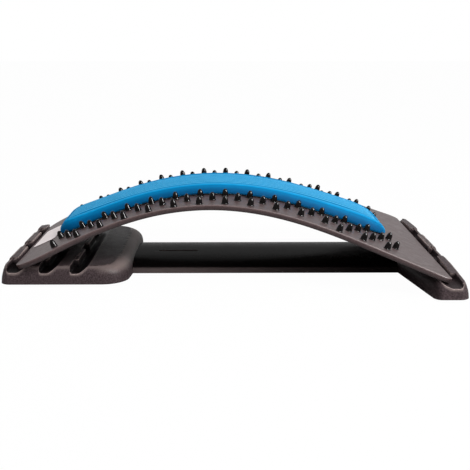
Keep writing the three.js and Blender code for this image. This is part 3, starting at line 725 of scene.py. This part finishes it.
def swollen(upper, lower, steps, cap):
    """How far each point of the upper skin moves, in mm, when the shell is blown up as cloth
    with its lower skin and its border held. No point may move further than cap."""
    mesh = bpy.data.meshes.new("foam_blank")
    rows, columns = upper.shape[:2]
    size = rows * columns
    points = np.concatenate([upper.reshape(-1, 3), lower.reshape(-1, 3) - [0, 0, BLANK_DEPTH]])
    mesh.from_pydata((points * MM).tolist(), [], shell_faces(rows, columns).tolist())
    blank = bpy.data.objects.new("foam_blank", mesh)
    bpy.context.scene.collection.objects.link(blank)
    held = blank.vertex_groups.new(name="held")
    held.add(list(range(size, 2 * size)), 1.0, "REPLACE")
    grid = np.arange(size).reshape(rows, columns)
    border = np.concatenate([grid[:, 0], grid[:, -1], grid[0, :], grid[-1, :]])
    held.add(border.tolist(), 1.0, "REPLACE")
    settings = blank.modifiers.new("swell", "CLOTH").settings
    settings.effector_weights.gravity = 0
    for setting, value in CLOTH.items():
        setattr(settings, setting, value)
    scene = bpy.context.scene
    for step in range(1, steps + 1):
        scene.frame_set(step)
    evaluated = blank.evaluated_get(bpy.context.evaluated_depsgraph_get())
    found = np.empty(len(evaluated.data.vertices) * 3)
    evaluated.data.vertices.foreach_get("co", found)
    scene.frame_set(1)
    moved = found.reshape(-1, 3)[:size] / MM - points[:size]
    bpy.data.objects.remove(blank)
    bpy.data.meshes.remove(mesh)
    length = np.linalg.norm(moved, axis=1, keepdims=True)
    moved *= np.minimum(1, cap / np.maximum(length, 1e-9))
    return moved.reshape(rows, columns, 3)


coarse_upper, coarse_lower = foam_skins(coarse_s, coarse_across)
swelling = swollen(coarse_upper, coarse_lower, steps=20, cap=0.9)
print("the foam swells by", round(float(np.linalg.norm(swelling, axis=-1).max()), 2), "mm")

# %% [markdown]
# The ribs lie between cosine furrows. The edge share paints light and shade into the colour: a
# painted sheen on the ribs, a painted highlight on the lip, and painted shade in furrows, grooves
# and on the side wall, but for the right end, which faces the key lamp and is painted paler.


# %% Ribbed foam
def resample(values, from_u, from_v, to_u, to_v):
    """Values on one grid read off on a finer one, straight between neighbours both ways."""
    u = np.clip(np.searchsorted(from_u, to_u) - 1, 0, len(from_u) - 2)
    v = np.clip(np.searchsorted(from_v, to_v) - 1, 0, len(from_v) - 2)
    fu = ((to_u - from_u[u]) / (from_u[u + 1] - from_u[u]))[:, None, None]
    fv = ((to_v - from_v[v]) / (from_v[v + 1] - from_v[v]))[None, :, None]
    first = values[u][:, v] * (1 - fu) + values[u + 1][:, v] * fu
    second = values[u][:, v + 1] * (1 - fu) + values[u + 1][:, v + 1] * fu
    return first * (1 - fv) + second * fv


RIB_PITCH = 6.0
RIB_DEPTH = 0.9
RIB_POWER = 1.4
ribbed, foam_lower = foam_skins(fine_s, fine_across)
ribbed = ribbed + resample(swelling, coarse_s, coarse_across, fine_s, fine_across)
fine_half = foam_half(fine_s)[:, None]
foam_y = fine_half * fine_across
inset = foam_inset(fine_s[:, None], foam_y)
wave = 0.5 + 0.5 * np.cos(2 * np.pi * foam_y / RIB_PITCH)
furrow = ramp(inset, 11.9, 13.1) * wave**RIB_POWER
slopes = arch_slope(fine_s)[:, None]
ribbed[..., 0] -= RIB_DEPTH * furrow * np.sin(slopes)
ribbed[..., 2] -= RIB_DEPTH * furrow * np.cos(slopes)
end_gap = np.minimum(fine_s + FOAM_LEFT, FOAM_RIGHT - fine_s)[:, None]
right_end = within(end_gap, fine_half - np.abs(foam_y), 8) * (fine_s > 0)[:, None]
# Painted sheen on the ribs and highlight on the lip; painted shade in furrows, grooves and on the
# side wall; painted highlight on the right end.
foam_edge = (
    ramp(inset, 11.8, 12.6) * (1 - 2.6 * furrow) - 0.9 * bell(inset, 11.2, 0.9)
    + 0.3 * bell(inset, 8.6, 1.2) - 0.5 * bell(inset, OUTER_GROOVE, 0.8)
    - ramp(inset, 5.6, 1.0) ** 0.7 * (1 - 1.6 * right_end))
foam_mesh = shell("foam_cushion", ribbed, foam_lower, foam_edge)
foam = piece("foam_cushion", foam_mesh, foam_blue, "arch", ["foam_strip"], 70.0)

# %% [markdown]
# ## Label and adhesive
#
# A pale film is stuck across the left end of the plate. It is left bare here. A flat rectangle
# would cut into the bend, so it is a thin shell in the plate's own space with rounded corners.

# %% Bare label
LABEL_START = 6.5
LABEL_LENGTH = 22
LABEL_HALF = 33
LABEL_CORNER = 3
LABEL_MIDDLE = 7
LABEL_TOP = 0.55
LABEL_UNDERSIDE = 0.3
label_turn = LABEL_CORNER * (1 - np.cos(turn))
along = np.unique(np.concatenate([
    label_turn, np.linspace(LABEL_CORNER, LABEL_LENGTH - LABEL_CORNER, 12),
    LABEL_LENGTH - label_turn]).round(4))
label_s = (-PLATE_LEFT + LABEL_START + along)[:, None]
label_half = LABEL_HALF - corner_inset(np.minimum(along, LABEL_LENGTH - along), LABEL_CORNER)
label_y = LABEL_MIDDLE + label_half[:, None] * np.linspace(-1, 1, 41)
label_mesh = shell(
    "label_film", on_arch(label_s, label_y, LABEL_TOP), on_arch(label_s, label_y, LABEL_UNDERSIDE))
piece("label_film", label_mesh, film_pale, "arch", ["blank_label"], 50.0)
frame["nodes"]["foam_adhesive"].data.materials.clear()
frame["nodes"]["foam_adhesive"].data.materials.append(adhesive_clear)

# %% [markdown]
# ## Feet
#
# Four rubber pads stand in recesses of the base. Each is turned from one profile with a rounded
# lower edge.

# %% Feet
foot_radius = np.array([0.0, 5.2, 6.9, 7.6, 8.0, 8.0, 7.9, 0.0])
foot_level = np.array([0.0, 0.0, 0.08, 0.35, 0.9, 2.5, 2.8, 2.8])
foot_turn = np.linspace(0, 2 * np.pi, 49)
foot_x = foot_radius[:, None] * np.cos(foot_turn)
foot_y = foot_radius[:, None] * np.sin(foot_turn)
foot_faces = quad_rows(*foot_x.shape)[:, ::-1]
for node_name in ("foot_left_near", "foot_left_far", "foot_right_near", "foot_right_far"):
    x, y, _ = [(low + high) / 2 / MM for low, high in zip(*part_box(node_name))]
    pad_name = node_name.replace("foot", "rubber_pad")
    pad_points = points_of(x + foot_x, y + foot_y, foot_level[:, None])
    pad_mesh = mesh_from(pad_name, pad_points.reshape(-1, 3), foot_faces)
    piece(pad_name, pad_mesh, rubber_black, "base", [node_name])

# %% [markdown]
# ## Base moulding
#
# The base is one black moulding: a narrow block with three seat grooves on the left, a wide one
# with a single groove on the right, and a bar between them. The grooves are saw teeth with an
# upright stop. Along the ridge stand lugs, and between them lie pockets, darkened with painted
# shade, behind a thin wall.
# A bevel on the CAD solid leaves hard corners where cuts meet. So each block is worked out from
# three formulas: how wide it is at each height, the saw-tooth path along it, and its lugs.
#
# Distances run from a block's outer foot inwards and heights from its underside. Past its length
# the outline narrows to the bar. The ridge dips between lugs and falls by its bow to the sides.
# Shade sets the painted shade in the grooves, and lit paints the inner shoulder paler with a
# painted highlight, or darker with painted shade where it is below zero.

# %% Block outline by height
OUTER_LEAN = 4.5
BLOCK_CORNER = 9
RIDGE_WIDTH = 7.2
GROOVE_PITCH = 26.3
BAR_HALF = 47.5
UNDERSIDE = 1.3
level_height = np.array([0, 0.33, 0.58, 0.77, 0.9, 0.975, 1.01, 1.3])
level_outer = np.array([0, 0.12, 0.32, 0.5, 0.64, 0.74, 0.78, 1.0])
level_side = np.array([0, 0.03, 0.06, 0.13, 0.25, 0.38, 0.46, 1.0])
level_inner = np.array([0, 0.03, 0.12, 0.33, 0.58, 0.8, 0.95, 1.0])
# shade, lit and lit_reach paint light and shade into the colour: painted shade in the grooves, and
# on the inner shoulder a painted highlight (left) and painted shade (right) over a spread.
left_block = dict(
    outer=-195.115, way=1, half=82.5, length=107.0, flare=3.0, flare_radius=22.05,
    crest=15.4, shoulder=13.0, side_shoulder=12.0, ridge=18.2, dip=1.5, bow=1.6,
    stop=11.2, grooves=3, floor=9.9, step_down=0.35, floor_width=4.2, back_slope=7.86,
    lugs=[-38, 19.5, 77], lug_half=18.5, shade=1.0, lit=0.75, lit_reach=0.2,
    cells_from=22.0, cells_to=94.0, cells_half=75.5)
right_block = dict(
    outer=195.115, way=-1, half=128.5, length=28.4, flare=15.0, flare_radius=7.0,
    crest=13.8, shoulder=7.0, side_shoulder=16.0, ridge=16.9, dip=1.6, bow=4.8,
    stop=9.8, grooves=1, floor=8.9, step_down=0.0, floor_width=6.1, back_slope=8.84,
    lugs=[-74, 7, 88], lug_half=24.5, shade=0.55, lit=-0.7, lit_reach=1.5,
    cells_from=7.0, cells_to=25.4, cells_half=99.5)


def smooth_table(x, at, values):
    """Cubic between neighbours of a table; a point's slope is the mean of those beside it."""
    steps = np.diff(values) / np.diff(at)
    slopes = np.concatenate([[steps[0]], (steps[1:] + steps[:-1]) / 2, [steps[-1]]])
    x = np.clip(x, at[0], at[-1])
    i = np.clip(np.searchsorted(at, x, side="right") - 1, 0, len(at) - 2)
    width = at[i + 1] - at[i]
    t = (x - at[i]) / width
    return (
        values[i] * (1 + 2 * t) * (1 - t) ** 2 + slopes[i] * width * t * (1 - t) ** 2
        + values[i + 1] * t**2 * (3 - 2 * t) + slopes[i + 1] * width * t**2 * (t - 1))


def at_level(form, h, values):
    """Value at height h of a table over the share of the crest's height."""
    return smooth_table(h / form["crest"], level_height, values)


def outer_inset(form, h):
    """How far the outer wall leans in at height h."""
    return OUTER_LEAN * at_level(form, h, level_outer)


def inner_inset(form, h):
    """How far the inner shoulder draws in at height h."""
    return form["shoulder"] * at_level(form, h, level_inner)


def inner_end(form, h):
    """Distance from the outer foot to the inner face at height h."""
    return form["length"] + form["flare"] - inner_inset(form, h)


def block_half(form, h, d):
    """Half width at height h and distance d from the outer foot: the straight side, less the
    arc of the outer corner, and past the flare's start the arc and the slanted line after it."""
    share = at_level(form, h, level_side)
    inner = inner_inset(form, h)
    w = form["half"] - form["side_shoulder"] * share
    half = w - corner_inset(d - outer_inset(form, h), BLOCK_CORNER * (1 - share / 2))
    bend = np.arctan2(w - BAR_HALF, form["flare"])
    radius = form["flare_radius"] - inner / 2
    tangent = radius * np.tan(bend / 2)
    first = form["length"] - inner - tangent
    reach = np.clip(d - first, 0, radius * np.sin(bend))
    half = half - (radius - np.sqrt(np.clip(radius**2 - reach**2, 0, None)))
    arc_end = first + radius * np.sin(bend)
    arc_half = w - radius * (1 - np.cos(bend))
    way = np.clip((d - arc_end) / np.maximum(inner_end(form, h) - arc_end, 1e-6), 0, 1)
    slanted = arc_half + (BAR_HALF - arc_half) * way
    return np.where(d > arc_end, slanted, half)


print("left block's foot:", 2 * float(block_half(left_block, 0.0, 50.0)), "mm wide")


# %% Saw-tooth paths
def rounded(corners, samples=7):
    """Path through corners (d, z, radius), each with the same number of points on an arc that
    touches both sides. Two corners share the side between them by their radii."""
    points = np.array([c[:2] for c in corners], float)
    radii = np.array([c[2] for c in corners], float)
    out = [points[:1]]
    for i in range(1, len(corners) - 1):
        back = points[i - 1] - points[i]
        ahead = points[i + 1] - points[i]
        back_length, ahead_length = np.linalg.norm(back), np.linalg.norm(ahead)
        back, ahead = back / back_length, ahead / ahead_length
        half = np.arccos(np.clip(back @ ahead, -1, 1)) / 2
        back_share = 0.9 * radii[i] / (radii[i] + radii[i - 1])
        ahead_share = 0.9 * radii[i] / (radii[i] + radii[i + 1])
        cut = min(radii[i] / np.tan(half), back_share * back_length, ahead_share * ahead_length)
        t = np.linspace(0, 1, samples)[:, None]
        start, end = points[i] + back * cut, points[i] + ahead * cut
        out.append((1 - t) ** 2 * start + 2 * t * (1 - t) * points[i] + t**2 * end)
    out.append(points[-1:])
    return np.concatenate(out)


def seat_paths(form):
    """The two paths over a block, over the lugs and through the pockets, with the same number of
    points to be blended. The first groove lies behind the ridge, the others behind a crest."""
    crest, ridge, wall = form["crest"], form["ridge"], RIDGE_WIDTH
    start = ridge - 1.4
    low = start - form["dip"]
    thin = wall - 1.5
    depth = form["stop"] - wall
    lug = [
        (float(outer_inset(form, start)), start, 0), (wall - 2.9, ridge - 0.7, 0.9),
        (wall - 1.2, ridge, 0.9), (wall, ridge, 0.2)]
    pocket = [
        (float(outer_inset(form, low)), low, 0), (thin - 1.3, low + 0.5, 0.6),
        (thin - 0.6, low + 0.7, 0.4), (thin, low + 0.6, 0.4)]
    for groove in range(form["grooves"]):
        shift = groove * GROOVE_PITCH
        floor = form["floor"] - groove * form["step_down"]
        back, stop = wall + shift, form["stop"] + shift
        if groove == 0:
            top, sunk, cut = ridge - 0.2, low - 0.6, thin
        else:
            top, sunk, cut = crest, crest - 1.2, back
            lug.append((back, crest, 0.3))
            pocket.append((back, crest, 0.4))
        lug += [(back + 0.4 * depth, top, 0.3), (stop, top, 1.1), (stop + 0.25, floor, 2.6)]
        pocket += [(cut + 0.1, sunk, 0.2), (cut + 0.15, sunk - 0.5, 0.2), (cut + 0.4, floor, 4.0)]
        foot = (stop + form["floor_width"], floor, 8.0)
        peak = (foot[0] + form["back_slope"], crest, 1.3)
        lug += [foot, peak]
        pocket += [foot, peak]
    end = (float(inner_end(form, crest)), crest, 0)
    return rounded(lug + [end]), rounded(pocket + [end])


def with_stations(lug, pocket, places, longest):
    """Both paths with points added where the pocket path passes each place, and wherever two
    points are further apart than longest."""
    index = np.arange(len(pocket), dtype=float)
    extra = [np.interp(p, pocket[:, 0], index) for p in places]
    gaps = np.linalg.norm(np.diff(pocket, axis=0), axis=1)
    for i in np.nonzero(gaps > longest)[0]:
        parts = int(np.ceil(gaps[i] / longest))
        extra += [i + k / parts for k in range(1, parts)]
    full = np.unique(np.concatenate([index, extra]).round(5))
    return [
        np.stack([np.interp(full, index, path[:, k]) for k in (0, 1)], axis=1)
        for path in (lug, pocket)]


print("left saw teeth:", len(seat_paths(left_block)[0]), "points before stations")

# %% Rows of a block
CELL_RIB = 3
CELL_PITCH = 27
CELL_DRAFT = 0.3
BLOCK_CELL_DEPTH = 6.4
CELL_SIDES = [-CELL_DRAFT / 2, CELL_DRAFT / 2]
LEVELS = np.linspace(0, 1, 25) ** 0.75
BORDER_STEPS = np.array([0, 0.04, 0.15, 0.32, 0.55])


def cell_edges(low, high):
    """Edges of the underside's cells between low and high, with a rib between neighbours."""
    count = max(int((high - low + CELL_RIB) // CELL_PITCH), 1)
    size = (high - low - CELL_RIB * (count - 1)) / count
    starts = low + np.arange(count) * (size + CELL_RIB)
    return np.stack([starts, starts + size], axis=1)


def cell_share(values, edges):
    """1 inside a cell, 0 outside, and a steep ramp at each edge."""
    values = np.asarray(values)[..., None]
    inside = np.minimum(values - edges[:, 0], edges[:, 1] - values)
    return np.clip(inside / CELL_DRAFT + 0.5, 0, 1).max(axis=-1)


def roof(form, y):
    """Height of the ridge at y: a parabola that falls by the bow to each side."""
    return form["ridge"] - form["bow"] * (y / (form["half"] + 2)) ** 2


def row_across(fixed, half):
    """Places across a row of this half width: close to each border, then the fixed ones."""
    half = np.asarray(half)[..., None]
    reach = half - BORDER_STEPS[-1] - 0.01
    return np.concatenate([
        -half + BORDER_STEPS, np.clip(fixed, -reach, reach), half - BORDER_STEPS[::-1]], axis=-1)


print("levels up a wall:", len(LEVELS))

# %% Top and ends of a block
EDGE_ROLL = 0.55
LUG_EASE = 0.8
LUG_END = 0.5
RIDGE_REACH = 2.6
SETTLE_ROUNDS = 16


def block_top(form, lug, pocket, fixed):
    """Patch over the top of a block with its edge shares of painted highlight and shade, and the
    half width and height of its border, which depend on each other and are settled in rounds. Lugs
    end before the border."""
    d, height = pocket.T
    edge_radius = EDGE_ROLL * np.clip((form["crest"] - height) / (0.2 * form["crest"]), 0, 1)
    edge_height = height
    for _ in range(SETTLE_ROUNDS):
        border = block_half(form, edge_height - edge_radius, d)
        edge_height = (edge_height + np.minimum(height, roof(form, border))) / 2
    border_height = edge_height - edge_radius
    y = row_across(fixed, border)
    from_lug = np.abs(y[..., None] - np.array(form["lugs"]))
    pocketed = 1 - within(from_lug, form["lug_half"], LUG_EASE).max(axis=-1)
    from_border = border[:, None] - np.abs(y)
    pocketed = np.maximum(pocketed, np.clip(1 - from_border / LUG_END, 0, 1))
    pocketed = pocketed * pocketed * (3 - 2 * pocketed)
    cap_d = lug[:, :1] * (1 - pocketed) + pocket[:, :1] * pocketed
    cap_z = lug[:, 1:] * (1 - pocketed) + pocket[:, 1:] * pocketed
    on_ridge = cap_d < form["stop"] + RIDGE_REACH
    cap_z = np.where(on_ridge, np.minimum(cap_z, roof(form, y)), cap_z)
    cap_z = cap_z - corner_inset(from_border, edge_radius[:, None])
    cap_z[:, [0, -1]] = border_height[:, None]
    slope_to = np.arctan2(np.diff(cap_z, axis=0), np.diff(cap_d, axis=0))
    # Painted highlight on convex bends and on the rolled border, a little less over the pockets.
    painted_bend_highlight = np.zeros(cap_d.shape)
    painted_bend_highlight[1:-1] = np.clip((slope_to[:-1] - slope_to[1:]) / 0.35, 0, 1)
    painted_rim_highlight = np.clip(1.3 - from_border / 0.8, 0, 1) * (edge_radius > 0.05)[:, None]
    cap_edge = np.maximum(painted_bend_highlight * (1 - 0.4 * pocketed), painted_rim_highlight)
    # Painted shade in the grooves and pockets below the crest, as strong as the key shade.
    painted_shade_mask = np.clip((form["crest"] - 0.5 - cap_z) / 1.5, 0, 1) * (cap_d > RIDGE_WIDTH - 1.7)
    cap_edge = cap_edge * (1 + form["shade"] * painted_shade_mask) - form["shade"] * painted_shade_mask
    return points_of(cap_d, y, cap_z), cap_edge, border, border_height


def block_end(form, reach, count, cap_row, wall_row, fixed):
    """Patches of one end: the corner on each side and the face between them, from the line that
    reach gives at each height to the outermost rows of the top and of the wall."""
    wall_d, wall_y, z = wall_row.T
    end_d = reach(form, z)
    share = np.linspace(0, 1, count)[:, None] ** 2
    corner_d = end_d + share * (wall_d - end_d)
    corner_y = block_half(form, z, corner_d)
    if reach is inner_end:
        corner_y[0] = BAR_HALF
    corner_y[-1] = wall_y
    corner_d[:, -1] = wall_d[-1]
    corner_y[:, -1] = wall_y[-1]
    corners = [points_of(corner_d, side * corner_y, z) for side in (-1, 1)]
    face_y = row_across(fixed, corner_y[0])
    face = points_of(end_d[:, None], face_y, LEVELS[:, None] * cap_row[:, 2])
    face[-1] = cap_row
    return *corners, face


print("lug sides rise within", LUG_EASE, "mm")

# %% Block skin
LONGEST_STEP = 2.2
ROW_STEP = 4.0
LUG_SIDES = [-0.6, -0.4, -0.2, 0, 0.2, 0.4, 0.6]
SHOULDER_HIGHLIGHT = 0.42


def block_patches(form):
    """All the patches of a block, each a grid of points in distance, y and height, and for each
    the grid of its edge shares of painted light and shade: top, walls, outer end, inner end and
    underside."""
    cells_d = cell_edges(form["cells_from"], form["cells_to"])
    cells_y = cell_edges(-form["cells_half"], form["cells_half"])
    lug, pocket = with_stations(*seat_paths(form), beside(cells_d, CELL_SIDES), LONGEST_STEP)
    lug_ends = beside(form["lugs"], [-form["lug_half"], form["lug_half"]])
    fixed = np.unique(np.concatenate([
        beside(lug_ends, LUG_SIDES), beside(cells_y, CELL_SIDES),
        np.arange(-form["half"], form["half"] + 1, ROW_STEP)]).round(3))
    cap, cap_edge, border, border_height = block_top(form, lug, pocket, fixed)

    d = pocket[:, :1]
    wall_z = LEVELS * border_height[:, None]
    wall_y = block_half(form, wall_z, d)
    wall_y[:, -1] = border
    walls = [points_of(d, side * wall_y, wall_z) for side in (-1, 1)]
    # Painted highlight in a band along the top of each wall; towards the inner end it turns into
    # the lit share, a painted highlight on the left block and painted shade on the right.
    pale = SHOULDER_HIGHLIGHT * bell(LEVELS, 0.95, 0.1)
    lit = form["lit"] * bell(LEVELS, 0.85, form["lit_reach"])
    wall_share = pale + (lit - pale) * ramp(d / form["length"], 0.75, 0.95)

    patches, shares, outlines = [cap, *walls], [cap_edge, wall_share, wall_share], []
    for reach, row, count, tone in ((outer_inset, 0, 7, pale), (inner_end, -1, 12, lit)):
        near, far, face = block_end(form, reach, count, cap[row], walls[1][row], fixed)
        outlines.append(far[:, 0, :2])
        patches += [near, far, face]
        shares += [np.broadcast_to(tone, patch.shape[:2]) for patch in (near, far)]
        shares.append(np.broadcast_to(tone[:, None], face.shape[:2]))

    low_d, low_half = np.concatenate([
        outlines[0][:-1], walls[1][:, 0, :2], outlines[1][-2::-1]]).T
    low_y = row_across(fixed, low_half)
    low_z = BLOCK_CELL_DEPTH * cell_share(low_d, cells_d)[:, None] * cell_share(low_y, cells_y)
    low_z[:, [0, -1]] = 0
    patches.append(points_of(low_d[:, None], low_y, low_z))
    shares.append(np.zeros(low_y.shape))
    return patches, shares


for form, name in ((left_block, "left_seat_block"), (right_block, "right_seat_block")):
    patches, shares = block_patches(form)
    starts = np.cumsum([0, *(share.size for share in shares)])
    faces = [quad_rows(*share.shape) + start for share, start in zip(shares, starts)]
    points = np.concatenate([patch.reshape(-1, 3) for patch in patches])
    points = points * [form["way"], 1, 1] + [form["outer"], 0, UNDERSIDE]
    edge = np.concatenate([share.ravel() for share in shares])
    block_mesh = mesh_from(name, points, np.concatenate(faces), edge, turn_outwards=True)
    piece(name, block_mesh, base_black, "base", ["base_frame"], 42.0)

# %% [markdown]
# The bar is crowned, so that it mirrors the room in one soft band, with a thin slot in its top
# and cells below. Its near edge has a painted highlight and its far side a painted reflection,
# both fading towards the right, and the slot's far lip a painted highlight.

# %% Bar
BAR_HEIGHT = 5.2
BAR_ROUND = 1.6
BAR_CROWN = 3.5
BAR_CELL_DEPTH = 2.4
SLOT_MIDDLE = -47
SLOT_HALF_LENGTH = 18
SLOT_HALF_WIDTH = 1.7
SLOT_DEPTH = 0.8
bar_cells_x = cell_edges(-85.1, 151.7)
bar_cells_y = cell_edges(-40.5, 40.5)
bar_x = np.unique(np.concatenate([
    np.arange(-100.0, 166.0, 6.0), [165.0], beside(bar_cells_x, CELL_SIDES),
    [-65.3, -65.0, -64.7, -63.9, -63.3, -30.7, -30.1, -29.3, -29.0, -28.7]]).round(3))
round_in = BAR_ROUND * (1 - np.cos(np.linspace(0, np.pi / 2, 6)))
bar_y = np.unique(np.concatenate([
    -BAR_HALF + round_in, BAR_HALF - round_in, beside(bar_cells_y, CELL_SIDES),
    np.arange(-44.0, 45.0, 4.0), [-2.0, -1.7, -1.4, 1.4, 1.7, 2.0, 2.6, 3.2]]).round(3))
crown = BAR_CROWN * (1 - np.abs(bar_y / BAR_HALF) ** 3)
bar_top = BAR_HEIGHT - corner_inset(BAR_HALF - np.abs(bar_y), BAR_ROUND) + crown
slot_length = within(np.abs(bar_x - SLOT_MIDDLE), SLOT_HALF_LENGTH, 0.6)[:, None]
slot = slot_length * within(np.abs(bar_y), SLOT_HALF_WIDTH, 0.5)
bar_high = bar_top - SLOT_DEPTH * slot
bar_low = BAR_CELL_DEPTH * cell_share(bar_x, bar_cells_x)[:, None] * cell_share(bar_y, bar_cells_y)
bar_skins = [points_of(bar_x[:, None], bar_y, z + UNDERSIDE) for z in (bar_high, bar_low)]
# Painted highlight on the near edge, painted reflection on the far side, both fading to the right,
# and a painted highlight on the far lip of the slot.
painted_side_light = np.maximum(ramp(BAR_HALF + bar_y, 1.2, 0), 0.9 * ramp(bar_y, 10, 42) ** 1.5)
painted_light_fade = np.clip(1 - (bar_x + 65) / 210, 0.1, 1)[:, None]
painted_slot_highlight = slot_length * ((bar_y > 1.3) & (bar_y < 2.7))
bar_edge = np.maximum(painted_light_fade * painted_side_light, painted_slot_highlight)
bar_mesh = shell("base_bar", *bar_skins, bar_edge, bar_edge)
piece("base_bar", bar_mesh, bar_black, "base", ["base_frame"], 42.0)

# %% [markdown]
# ## Final update

# The box round all that is seen has to lie within the box of the CAD model.

# %% Update the view layer
bpy.context.view_layer.update()
